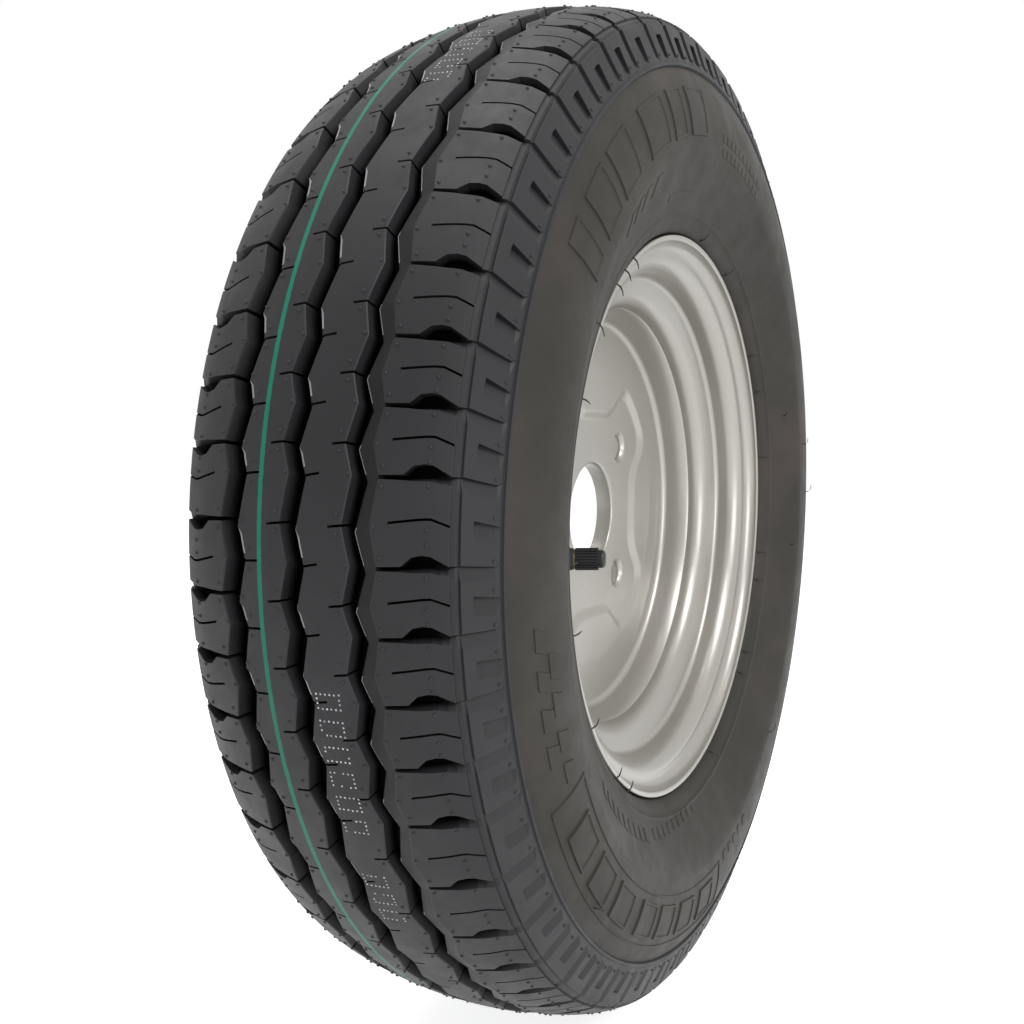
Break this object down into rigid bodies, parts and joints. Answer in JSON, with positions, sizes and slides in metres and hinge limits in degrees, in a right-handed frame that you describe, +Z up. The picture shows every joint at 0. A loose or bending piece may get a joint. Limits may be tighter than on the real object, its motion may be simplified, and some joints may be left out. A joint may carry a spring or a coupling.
{
  "type": "wheel and tyre assembly",
  "caption": "Pressed steel wheel with a block-tread tubeless tyre, dished disc, hub bore, bolt holes and a rubber valve with a screw cap.",
  "frame": {"origin": "centre of the wheel: on the spin axis, in the plane halfway between the rim's two flanges", "axes": "spin axis along Y with the outboard face towards -Y, +Z up, +X to the right as seen from outboard"},
  "size_m": [0.4917, 0.1408, 0.4917],
  "materials": {
    "tyre_rubber": "satin",
    "rim_paint": "metallic gloss",
    "disc_paint": "metallic gloss",
    "weld_paint": "metallic gloss",
    "valve_rubber": "matte",
    "stem_brass": "turned",
    "core_brass": "turned",
    "gasket": "matte",
    "spring_steel": "bright",
    "seal_rubber": "matte",
    "cap_plastic": "satin"
  },
  "bodies": {
    "wheel": {"tyre": "tyre_rubber", "rim": "rim_paint", "disc": "disc_paint", "disc_welds": "weld_paint", "valve_body": "valve_rubber", "valve_stem": "stem_brass", "valve_core_barrel": "core_brass", "valve_core_gasket": "gasket", "valve_core_spring": "spring_steel"},
    "core_pin": {"valve_core_pin": "core_brass", "valve_core_seal": "seal_rubber"},
    "cap": {"valve_cap": "cap_plastic", "cap_seal": "seal_rubber"}
  },
  "joints": [
    {"name": "core_press", "type": "slide", "parent": "wheel", "child": "core_pin", "axis": [-0.2908, 0.9563, -0.0306], "range_m": [0, 0.0015], "stiffness_N_per_m": 600, "springref_m": -0.002, "deforming": ["valve_core_spring"]},
    {"name": "cap_off", "type": "slide", "parent": "wheel", "child": "cap", "axis": [0.2908, -0.9563, 0.0306], "range_m": [0, 0.012]}
  ]
}
